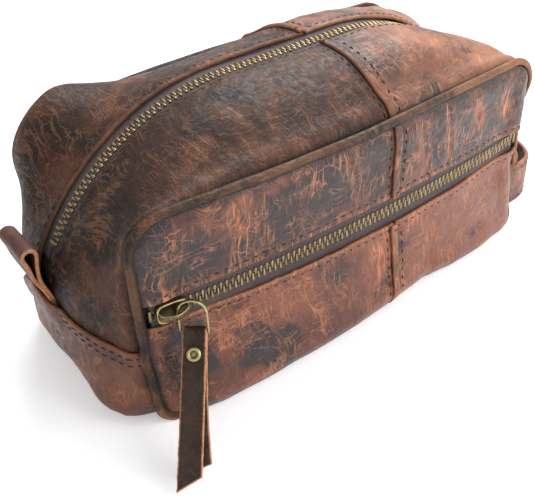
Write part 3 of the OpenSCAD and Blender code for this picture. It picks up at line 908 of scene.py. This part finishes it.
def flap_share(v, extra=0.0):
    """Where the base's end flap ends, as a share of the profile, for each v."""
    tries = np.linspace(0.4, 0.75, 220)
    shares = []
    for one in v:
        place = body_at(tries, one)
        height = LAP_PEAK + (LAP_SIDE - LAP_PEAK) * np.abs(place[:, 1]) / HALF_DEPTH
        shares.append(np.interp(0.0, height + extra - place[:, 2], tries))
    return np.array(shares)


FLAP_LIFT = 1.7


def base():
    """The base with its two end flaps, which lie over the gusset and the foot of the loop tab."""
    v = spread(78, 94) * 2 - 1
    u = (spread(250, 300) * 2 - 1)[:, None]
    s = np.where(u < 0, -1.0, 1.0) * (1 - (1 - flap_share(v)) * np.abs(u))
    v = np.broadcast_to(v, s.shape)
    x, y, z = np.moveaxis(body_at(s, v), -1, 0)
    tab = (x < -90) * (1 - smooth(np.abs(y), TAB_W / 2, TAB_W / 2 + 5))
    lift = FLAP_LIFT * smooth(z, 4, 16) + 2.4 * tab * smooth(z, 26, 42)
    grid, outward = body_skin_grid(s, v, lift, smooth(z, 2, 12))
    skin("base_leather", grid, outward, LEATHER, hide_base, "base_panel")


# ---- piping

PIPE_R = 1.95
PIPE_SIDES = 16


def full_outline(out):
    """Points at even steps round the panel's outline, grown by out."""
    half = half_outline(out)
    points = np.concatenate([half[1:], (half * [-1, 1])[::-1][1:]])
    return even_line(points, 420, closed=True).T


def piping(side):
    """Leather wrapped round a cord, sewn into the panel's edge, with lumps."""
    x, z = full_outline(1.5)
    path = packed(x, side * (face_y(x) - 0.9), z)
    lump = waves(path, 16, 21)
    path[:, 0] += 0.25 * waves(path, 24, 22)
    path[:, 1] += side * 0.3 * waves(path, 20, 23)
    # it tucks in under the panel's foot, and on the right upright
    tucked = 3.4 * (1 - smooth(z, 2, 12)) * (1 - smooth(np.abs(x), 91, 99))
    tucked += 2.4 * smooth(x, 92, 101) * (1 - smooth(z, 64, 80)) * smooth(z, 2, 12)
    path[:, 1] -= side * tucked
    # the base's end flap pushes the cord outwards where it meets the piping
    kink = bell(z, LAP_SIDE - 1, 4.5) * (np.abs(x) > 90)
    path[:, 0] += np.sign(x) * 0.8 * kink
    # thinner along the top on the right
    thinner = (0.2 - 0.1 * smooth(x, 80, 95)) * smooth(x, 8, 30) * (z > 20)
    size = PIPE_R * (1 + 0.07 * lump + 0.12 * kink - thinner)
    section = oval(2, 2, PIPE_SIDES) * size[:, None, None]
    points, faces = sweep(path, section, (0, side, 0), True)
    dark = (1 - smooth(x, 2, 22)) * smooth(z, 1, 12)
    pale = 0.8 * (1 - dark) ** 1.5 + 0.1 * smooth(lump, 0.1, 0.7)
    # painted shade where the cord's surface turns away from the bag's outside, towards its seam
    middle = packed(0, path[:, 1], PANEL_MID)
    facing = unit(unit((path - middle) * [0.5, 0, 1]) + [0, side, 0])
    turned = (unit(points.reshape(len(path), -1, 3) - path[:, None]) * facing[:, None]).sum(-1)
    limit = 0.42 * (1 - smooth(x, 30, 90))[:, None]
    name = DEPTH[side] + "_piping"
    make(name + "_leather", points, faces, hide_piping, name,
         paint={"dark": np.repeat(1.2 * dark - 0.3, PIPE_SIDES), "pale": np.repeat(pale, PIPE_SIDES),
                "groove_shade": 1 - smooth(turned, limit, limit + 0.42)})


# ---- zips

def on_front(place, s):
    """Chain-frame points (along, across, outwards) at a length s from the pocket zip's middle, in
    the bag's frame."""
    a = s / FRONT_TAPE_R
    r = FRONT_TAPE_R + place[..., 2]
    return packed(r * np.sin(a) + place[..., 0] * np.cos(a),
                  PANEL_AXIS - r * np.cos(a) + place[..., 0] * np.sin(a), ZIP_Z + place[..., 1])


def on_main(place, s):
    """The same at a length s from the main zip's middle."""
    s = np.asarray(s, float)
    a = np.maximum(0, np.abs(s) - CROWN_HALF) / MAIN_TAPE_R
    side = np.where(s < 0, -1.0, 1.0)
    r = MAIN_TAPE_R + place[..., 2]
    ahead = place[..., 0] * side
    x = np.minimum(np.abs(s), CROWN_HALF) + r * np.sin(a) + ahead * np.cos(a)
    return packed(x * side, place[..., 1], SHOULDER_Z + r * np.cos(a) - ahead * np.sin(a))


def tape(name, on_chain, side, length, width):
    """One woven tape, with a raised bead that the teeth grip."""
    u = np.linspace(-1, 1, int(length / 2.0)) * length / 2
    bead_steps = [0.0, 0.15, 0.4, 0.7, 1.0, 1.4, 1.7, 2.0, 2.4, 2.8]
    t = np.concatenate([bead_steps, np.linspace(3.3, width, 9)])
    run, across = np.meshgrid(u, t + 0.25, indexing="ij")
    out = TAPE_T / 2 + 0.45 * bell(t, 1.5, 0.7) + 0.08 * waves(packed(run, across, 0), 9, 31)
    grid = on_chain(packed(0.0, side * across, out), run)
    skin(name + "_cloth", grid, side, TAPE_T, tape_cloth, name, paint={"edge": 0.0})


def tooth(side):
    """A cast tooth in the chain's frame: a leg that grips the tape and a head past the middle."""
    stations = [(2.95, 0.40, 0.62), (2.85, 0.60, 0.85), (2.3, 0.62, 1.08), (1.1, 0.62, 1.1),
                (0.3, 0.50, 0.98), (-0.25, 0.58, 0.92), (-0.62, 0.52, 0.80), (-0.78, 0.30, 0.5)]
    section = oval(2, 2, 8, 3.2)
    rings = [packed(section[:, 0] * w, side * y, section[:, 1] * h) for y, w, h in stations]
    points, faces = lofted(np.stack(rings))
    return points, faces if side < 0 else flipped(faces)


def teeth(name, on_chain, side, count):
    """A row of teeth, with slight differences from one to the next."""
    shape, faces = tooth(side)
    rng = np.random.default_rng(41 + side)
    parts, worn = [], []
    for i in range(-count, count + 1):
        wobble = rng.uniform(-1, 1, 3) * 0.05
        parts.append((on_chain(shape + wobble, (i + side * 0.25) * PITCH), faces))
        worn.append(smooth(shape[:, 2], 0.25, 1.0) * rng.uniform(0.65, 1.0))
    points, faces = joined(parts)
    make(name + "_brass", points, faces, teeth_metal, name, paint={"worn": np.concatenate(worn)})


def box_rings(stations, sides, power):
    """A closed lofted body along Z from (z, half length, half width, shift along) stations."""
    section = oval(2, 2, sides, power)
    rings = [packed(section[:, 0] * a + dx, section[:, 1] * b, z) for z, a, b, dx in stations]
    return lofted(np.stack(rings))


def stops(name, on_chain, reach):
    """The stop at each end of a chain."""
    shape, faces = box_rings([(-1.15, 0.5, 2.3, 0), (-1.0, 0.7, 2.55, 0), (1.0, 0.7, 2.55, 0),
                              (1.2, 0.5, 2.3, 0)], 16, 4.0)
    points, faces = joined([(on_chain(shape, s), faces) for s in (-reach, reach)])
    make(name + "_brass", points, faces, metal, name, paint={"worn": np.full(len(points), 0.45)})


# ---- sliders, rings and straps

def slider_shape():
    """A cast slider in its chain's frame, with +X at its narrow end: two plates, a post between
    them at the wide end, and an arched bridge with ridges on its back."""
    parts, worn = [], []
    sides = 72

    def plate(sign):
        # narrower towards +X, with a rounded rim that stands above a shallow dish
        a = np.linspace(0, 2 * math.pi, sides, endpoint=False)
        x = signed_power(np.cos(a), 0.45) * 6.5
        y = signed_power(np.sin(a), 0.5) * (4.4 - 0.5 * smooth(x, -1.5, 6.5))
        # how wide each ring is, how high, and how worn
        levels = [(1.0, 0.5, 0.3), (1.0, 0.75, 0.3), (1.0, 2.0, 0.5), (0.975, 2.45, 0.9),
                  (0.93, 2.65, 1.0), (0.88, 2.6, 0.7), (0.80, 2.25, 0.0), (0.45, 2.2, 0.0)]
        rings = [packed(x * k, y * k, z * sign) for k, z, _ in levels]
        points, faces = lofted(np.stack(rings))
        top, bottom, last = len(points), len(points) + 1, len(points) - sides
        points = np.concatenate([points, [[0, 0, 2.2 * sign], [0, 0, 0.5 * sign]]])
        faces = faces[:-2]
        for k in range(sides):
            j = (k + 1) % sides
            faces += [[last + k, last + j, top], [j, k, bottom]]
        parts.append((points, faces if sign > 0 else flipped(faces)))
        worn.append(np.concatenate([np.full(sides, w) for _, _, w in levels] + [[0.0, 0.0]]))

    plate(1)
    plate(-1)
    parts.append(box_rings([(-1.5, 1.2, 0.28, -4.3), (1.5, 1.2, 0.28, -4.3)], 12, 3.0))
    worn.append(np.full(len(parts[-1][0]), 0.1))
    # the bridge: a flat strip that arches from one end of the plate to the other
    t = np.linspace(0, 1, 73)
    x = -5.7 + 11.8 * t + 0.5 * np.sin(2 * math.pi * t)
    z = 2.3 + 4.0 * np.sin(math.pi * t) ** 0.42
    path = packed(x, 0, z)
    ridge = np.where(np.arange(len(t)) % 3 == 0, 0.0, 0.10)
    width = 1.45 - 0.25 * np.sin(math.pi * t)
    section = oval(2, 2, 12, 4.0)
    parts.append(sweep(path, section * packed(width, 0.45 + ridge)[:, None], (0, 1, 0), False))
    rims = np.tile(smooth(np.abs(section[:, 0]), 0.75, 0.98), len(t))
    worn.append(0.25 + 0.65 * rims)
    points, faces = joined(parts)
    return points, faces, np.concatenate(worn)


def slider(name, body, place, turned):
    """A slider at its place, which is a function from its chain's frame to the bag's."""
    points, faces, worn = slider_shape()
    if turned:
        points = points * [-1, -1, 1]
    make(name + "_brass", place(points), faces, metal, name, body, {"worn": worn})


def rotation(axis, degrees):
    return np.array(Matrix.Rotation(math.radians(degrees), 3, axis))


def front_bar(points):
    """From the pocket ring's frame, whose bar lies along X through the origin, to the bag's."""
    axis_a = math.radians(-FRONT_PARK_A) + math.asin(TUNNEL_X / FRONT_TAPE_R)
    axis_r = FRONT_TAPE_R + PULL_AXIS
    place = np.array([axis_r * math.sin(axis_a), PANEL_AXIS - axis_r * math.cos(axis_a),
                      ZIP_Z - (RING_LEG - 0.8)])
    return (points + [RING_R, 0, 0]) @ rotation("Z", -RING_TURN).T + place


def main_bar(points, lean):
    """The same for the main ring, turned by lean from hanging straight down."""
    axis_a = math.radians(MAIN_PARK_A) - math.asin(TUNNEL_X / MAIN_TAPE_R)
    axis_r = MAIN_TAPE_R + PULL_AXIS
    reach = RING_LEG + RING_R
    out = math.radians(MAIN_RING_LEAN)
    place = np.array([CROWN_HALF + axis_r * math.sin(axis_a) + reach * math.sin(out), 0,
                      SHOULDER_Z + axis_r * math.cos(axis_a) - reach * math.cos(out)])
    turn = rotation("Z", 90) @ rotation("X", -lean)
    return points @ turn.T + place


def ring(name, body, place):
    """A flattened wire bent to a D."""
    corner = 1.3
    path = []
    for cx, cz, r, start, end, count in (
            (0, RING_LEG, RING_R, -90, 90, 40),
            (RING_R - corner, corner, corner, 90, 180, 8),
            (-RING_R + corner, corner, corner, 180, 270, 8)):
        path += [(x, 0, z) for x, z in arc(cx, cz, r, start, end, count)]
    path = even_line(np.array(path), 96)
    section = oval(1.65, 0.95, 10, 2.8)
    points, faces = sweep(path, section, (0, 1, 0), True)
    worn = np.tile(0.35 + 0.55 * smooth(np.abs(section[:, 0]), 0.5, 0.8), len(path))
    make(name + "_brass", place(points), faces, metal, name, body, {"worn": worn})


def strap(name, body, place, seed):
    """One strip folded round the ring's bar, with both tails down and slanted ends."""
    fold = BAR_HALF + STRAP_T
    turn = math.pi * fold
    u = spread(110, STRAP_LONG + STRAP_SHORT + turn)
    v = spread(10, STRAP_W, (0.08, 0.22, 0.42, 0.68))
    x = (v - 0.5) * STRAP_W
    back = STRAP_SHORT - 3.5 * v
    front = STRAP_LONG - 5.5 * v
    run = u[:, None] * (back + turn + front)
    a = np.clip((run - back) / fold, 0, math.pi)
    down = np.where(run < back, back - run, np.maximum(0, run - back - turn))
    tail = np.where(run < back, 1.0, -1.0)
    y = np.where(down > 0, fold * tail, fold * np.cos(a))
    z = np.where(down > 0, -down, fold * np.sin(a))
    # below the rivet the tails bow apart, and the back one slips sideways
    free = np.clip((down - RIVET_DROP - 3) / 40, 0, 1.2)
    nip = bell(down, RIVET_DROP, 5) * (down > 0)
    y = y - tail * 0.5 * nip + np.where(tail > 0, 0.9, -0.4) * free**2 * 2
    shift = np.where(tail > 0, 2.6, -0.3) * free**1.5
    cup = 0.25 * (x / STRAP_W * 2) ** 2 * tail
    grid = packed(x + shift, y + cup, z)
    lumps = waves(grid * [1, 0, 1] + seed, 16, seed)
    edge_noise = 0.16 * waves(grid * [0.2, 0, 1] + seed, 3, seed + 1)
    grid[..., 0] += edge_noise * np.sign(x) * (np.abs(x) > 4.3)
    grid[..., 1] += 0.25 * lumps
    skin(name + "_leather", place(grid), 1, STRAP_T, hide_strap, name, body)


def rivet(name, body, place):
    """A tubular rivet through both tails: a domed cap with a rolled ring and a dimple each side."""
    half = BAR_HALF + STRAP_T - 0.5
    # radius, height and wear, from the dimple's middle out to the edge
    dimple, *profile = [(0.0, 0.55, 0.7), (0.5, 0.62, 0.8), (0.95, 0.45, 0.2), (1.35, 0.55, 0.3),
                        (1.75, 0.95, 1.0), (2.2, 0.98, 1.0), (2.6, 0.7, 0.7), (2.85, 0.3, 0.4),
                        (2.8, 0.0, 0.1)]
    sides = 32
    a = np.linspace(0, 2 * math.pi, sides, endpoint=False)

    def ring_at(radius, y):
        return packed(radius * np.cos(a), y, radius * np.sin(a))

    parts, worn = [], []
    for end in (1, -1):
        points, faces = lofted(np.stack([ring_at(r, end * (half + up)) for r, up, _ in profile]))
        tip = len(points)
        points = np.concatenate([points, [[0, end * (half + dimple[1]), 0]]])
        faces = faces[:-2] + faces[-1:] + [[tip, (k + 1) % sides, k] for k in range(sides)]
        parts.append((points, faces if end > 0 else flipped(faces)))
        worn += [w for _, _, w in profile for _ in range(sides)] + [dimple[2]]
    parts.append(lofted(np.stack([ring_at(1.0, -half), ring_at(1.0, half)])))
    worn += [0.1] * 2 * sides
    points, faces = joined(parts)
    points = place(points - [0, 0, RIVET_DROP])
    make(name + "_brass", points, faces, metal, name, body, {"worn": np.array(worn)})


# ---- loop tab and handle

def loop_tab():
    """A strip folded to a teardrop and sewn in under the base's end flap."""
    roll = 3.6
    top = TAB_TOP - roll
    outer = [(1.2, 36), (1.0, 44), (0.5, 50), (-0.6, 54), (-1.9, 58), (-2.5, top - 4), (-3.2, top - 2)]
    inner = [(3.2, top - 2), (2.6, top - 4), (1.6, 57), (2.2, 53), (3.3, 48), (3.8, 42), (4.0, 37)]
    path = np.array(outer + [tuple(p) for p in arc(0, top, roll, -82, 82, 22)] + inner)
    line = crowded_line(path, 66)
    line[1:-1] = (line[:-2] + 2 * line[1:-1] + line[2:]) / 4
    across = (spread(22, TAB_W, (0.1, 0.25, 0.5, 0.8)) - 0.5) * TAB_W
    x, z = line.T[:, :, None]
    grid = packed(x - TAB_X, across, z)
    # the strip leans out and back a little, and its edges wander
    rise = np.clip((grid[..., 2] - 44) / 26, 0, 1)
    grid[..., 0] -= 1.2 * rise**1.5
    grid[..., 0] += 0.25 * waves(grid, 17, 51)
    grid[..., 1] += 0.3 * waves(grid * [0, 0.1, 1], 12, 52) * (np.abs(across) > 9)
    skin("loop_tab_leather", grid, 1, TAB_T, hide_tab, "loop_tab_left")


def handle_path():
    """The handle's bow seen from above, from the front to the back."""
    a = np.linspace(0, math.pi, 220)
    x = HANDLE_ROOT + HANDLE_BOW * np.sin(a) ** (2 / 3)
    return packed(x, -HANDLE_HALF * signed_power(np.cos(a), 2 / 3))


def handle():
    """A wide strip bowed out from the right end, slightly domed, with a wavering height."""
    x, y = crowded_line(handle_path(), 96).T[:, :, None]
    v = spread(18, HANDLE_W)
    grid = packed(x, y, HANDLE_LOW + HANDLE_W * v)
    bow = np.sin(np.linspace(0, math.pi, len(x)))[:, None]
    grid[..., 0] += 0.5 * np.sin(math.pi * v) * bow
    grid[..., 2] += 0.8 * bow * waves(grid, 60, 61)
    skin("side_handle_leather", grid, 1, HANDLE_T, hide_right, "side_handle")


# ---- stitches

def stitches(name, points, outward, gap=4.2, length=1.9, thickness=0.6, sink=0.14, colour=thread):
    """A row of thread stitches along a line of surface points, with the surface's normals."""
    end = lengths(points)[-1]
    count = max(2, int(end / gap))
    middle = (np.arange(count) + 0.5) * end / count
    # each stitch is a short bow with thin ends that dip into the leather
    t = np.array([-0.5, -0.42, -0.25, 0, 0.25, 0.42, 0.5])
    bow = np.array([-0.36, 0.024, 0.192, 0.24, 0.192, 0.024, -0.36])
    size = np.array([0.35, 0.8, 1, 1, 1, 0.8, 0.35])
    section = oval(1, 1, 8) * (size * thickness)[:, None, None]
    run = lengths(points)
    parts = []
    for m in middle:
        s = m + t * length
        line = at_lengths(points, s)
        up = unit(np.stack([np.interp(s, run, column) for column in outward.T], -1))
        parts.append(sweep(line + up * (bow - sink)[:, None], section, up, False))
    points, faces = joined(parts)
    make(name, points, faces, colour)


def front_line(x, z):
    """Points on the front panel's relief surface."""
    relief = front_relief(x, z) + np.where(x > SEAM_X, front_lap(x, z), 0)
    return panel_at(x, z, -1, relief)


def front_row(name, x, z, dx, dz):
    """A row on the front panel. Its normals come from the same line moved by (dx, dz)."""
    line = front_line(x, z)
    out = unit(np.cross(np.gradient(line, axis=0), front_line(x + dx, z + dz) - line))
    stitches(name, line, out * np.sign(-out[:, 1:2]))


def front_stitches():
    for up in (1, -1):
        x = np.linspace(-PANEL_HALF + 3, PANEL_HALF - 3, 500)
        front_row(f"stitches_pocket_{LEVEL[up]}", x, ZIP_Z + up * (gap_at(x) + STITCH_IN), 0, 0.2)
        start = gap_at(SEAM_X) + 4.6
        end = 37.5 if up > 0 else 42.5
        z = ZIP_Z + up * np.linspace(start, end, 120)
        for k, offset in enumerate(LAP_ROWS):
            front_row(f"stitches_panel_seam_{LEVEL[up]}_{k + 1}", SEAM_X + offset + 0 * z, z, 0.2, 0)


def body_line(s, v, lift):
    """Points on the relief surface of the gusset or base, and the surface's outward normals."""
    flat = body_at(s, v)
    du = body_at(s + 2e-4, v) - flat
    dv = body_at(s, v + 2e-3) - flat
    out = unit(np.cross(du, dv))
    out = out * np.sign(((flat - INSIDE) * out).sum(-1, keepdims=True))
    return flat + out * (body_relief(flat, s, v) + lift)[..., None], out


def body_stitches():
    for side, place in DEPTH.items():
        # the gusset's lapped seam
        v = side * np.linspace(0.24, 0.96, 120)
        for k, offset in enumerate(LAP_ROWS):
            lift = lap_lift(offset, 0) if offset > 0 else 0.0
            line, out = body_line(SEAM_S + offset / HALF_ROUND, v, lift)
            stitches(f"stitches_gusset_seam_{place}_{k + 1}", line, out)
        # along the main zip
        s = np.linspace(-0.47, 0.47, 700)
        v = side * (main_gap(s) + 2.6) / seam_depth(s)
        line, out = body_line(s, v, np.where(s > SEAM_S, gusset_lap(s), 0))
        stitches(f"stitches_main_zip_{place}", line, out, 4.0, 2.6, 0.4, 0.1, thread_faint)
    for end, place in END.items():
        v = np.linspace(-0.97, 0.97, 400)
        for k, offset in enumerate((2.4, 5.6)):
            line, out = body_line(end * flap_share(v, -offset), v, FLAP_LIFT)
            stitches(f"stitches_end_flap_{place}_{k + 1}", line, out, 3.7, 2.3)


def handle_stitches():
    path = handle_path()[6:-6]
    normal = unit(packed(np.gradient(path[:, 1]), -np.gradient(path[:, 0]), 0))
    for k, z in enumerate((2.6, HANDLE_W - 2.6)):
        line = np.column_stack([path, np.full(len(path), HANDLE_LOW + z)])
        stitches(f"stitches_handle_{k + 1}", line, normal, 4.6, 3.0, 0.4, 0.05, thread_faint)


# ---- everything in its place

def in_front_strap(points):
    return front_bar(points @ rotation("X", STRAP_LEAN - 90).T)


def in_main_strap(points):
    return main_bar(points, MAIN_HANG)


for one in (1, -1):
    for other in (-1, 1):
        front_panel(one, other)
        gusset(one, other)
    piping(one)
    for name, on_chain, word, reach, width, count in (
            ("front", on_front, LEVEL[one], PANEL_HALF - 2.3, 10.5, FRONT_TEETH),
            ("main", on_main, DEPTH[one], MAIN_STOP + 8, 9.0, MAIN_TEETH)):
        tape(f"{name}_zip_tape_{word}", on_chain, one, 2 * reach, width)
        teeth(f"{name}_zip_teeth_{word}", on_chain, one, count)
back_panel()
base()
stops("front_zip_stops", on_front, FRONT_TAPE_R * math.asin(STOP_X / FRONT_TAPE_R))
stops("main_zip_stops", on_main, MAIN_STOP)
slider("front_slider", "front_zip_slider", lambda p: on_front(p, -FRONT_PARK), False)
slider("main_slider", "main_zip_slider", lambda p: on_main(p, MAIN_PARK), True)
ring("front_pull_ring", "front_ring", front_bar)
ring("main_pull_ring", "main_ring", lambda p: main_bar(p, MAIN_RING_LEAN))
for name, in_strap, seed in (("front", in_front_strap, 71), ("main", in_main_strap, 81)):
    strap(name + "_pull_strap", name + "_strap", in_strap, seed)
    rivet(name + "_strap_rivet", name + "_strap", in_strap)
loop_tab()
handle()
front_stitches()
body_stitches()
handle_stitches()

for hidden, finish in (("lining", lining_cloth), ("pocket_divider", lining_cloth),
                       ("base_stiffener", board_fibre)):
    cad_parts[hidden].data.materials.clear()
    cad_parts[hidden].data.materials.append(finish)


# ---------------------------------------------------------------- floor, light and camera

# The camera, fitted to the photo: how far it turns right, how far it looks down and its roll, in
# degrees, its place in mm, and its lens
CAMERA_ANGLES = (34.78, 36.89, -3.35)
CAMERA_PLACE = (-184.84, -246.24, 237.54)
CAMERA_LENS = 52.94


def camera():
    """The photograph's view: from the front left, above."""
    turn, down, roll = np.radians(CAMERA_ANGLES)
    ahead = Vector((math.sin(turn) * math.cos(down), math.cos(turn) * math.cos(down), -math.sin(down)))
    level = Vector((math.cos(turn), -math.sin(turn), 0))
    upward = level.cross(ahead)
    right = math.cos(roll) * level + math.sin(roll) * upward
    up = -math.sin(roll) * level + math.cos(roll) * upward
    data = bpy.data.cameras.new("camera")
    data.sensor_width = 36.0
    data.lens = CAMERA_LENS
    data.clip_start = 0.01
    eye = linked("camera", data)
    turned = Matrix((right, up, -ahead)).transposed().to_4x4()
    eye.matrix_world = Matrix.Translation(Vector(CAMERA_PLACE) * MM) @ turned
    bpy.context.scene.camera = eye


def area_light(name, place, target, size, power, colour=(1, 1, 1)):
    data = bpy.data.lights.new(name, "AREA")
    data.shape = "DISK"
    data.size = size
    data.energy = power
    data.color = colour
    lamp = linked(name, data)
    lamp.location = place
    lamp.rotation_euler = (Vector(target) - Vector(place)).to_track_quat("-Z", "Y").to_euler()


def floor():
    material, place = new_material("floor_white")
    tint = place.noise(0.01, 2.0).blend((0.86, 0.86, 0.87), (0.90, 0.90, 0.91))
    surfaced(material, place, Base_Color=tint, Roughness=0.6, Emission_Color=tint,
             Emission_Strength=0.38)
    half = 3000 * MM
    mesh = bpy.data.meshes.new("floor")
    mesh.from_pydata([(-half, -half, 0), (half, -half, 0), (half, half, 0), (-half, half, 0)], [],
                     [(0, 1, 2, 3)])
    mesh.materials.append(material)
    linked("floor", mesh)


def daylight():
    world = bpy.data.worlds.new("studio")
    world.use_nodes = True
    sky = world.node_tree.nodes["Background"]
    sky.inputs["Color"].default_value = (1.0, 1.0, 1.0, 1)
    sky.inputs["Strength"].default_value = 0.64
    bpy.context.scene.world = world
    area_light("key", (0.55, 0.45, 0.95), (0.0, 0.0, 0.05), 0.8, 18, (1.0, 0.99, 0.98))
    area_light("fill", (0.55, -0.75, 0.6), (0.0, 0.0, 0.05), 0.9, 9)
    bpy.context.scene.view_settings.view_transform = "Standard"
    bpy.context.scene.view_settings.look = "None"


camera()
floor()
daylight()
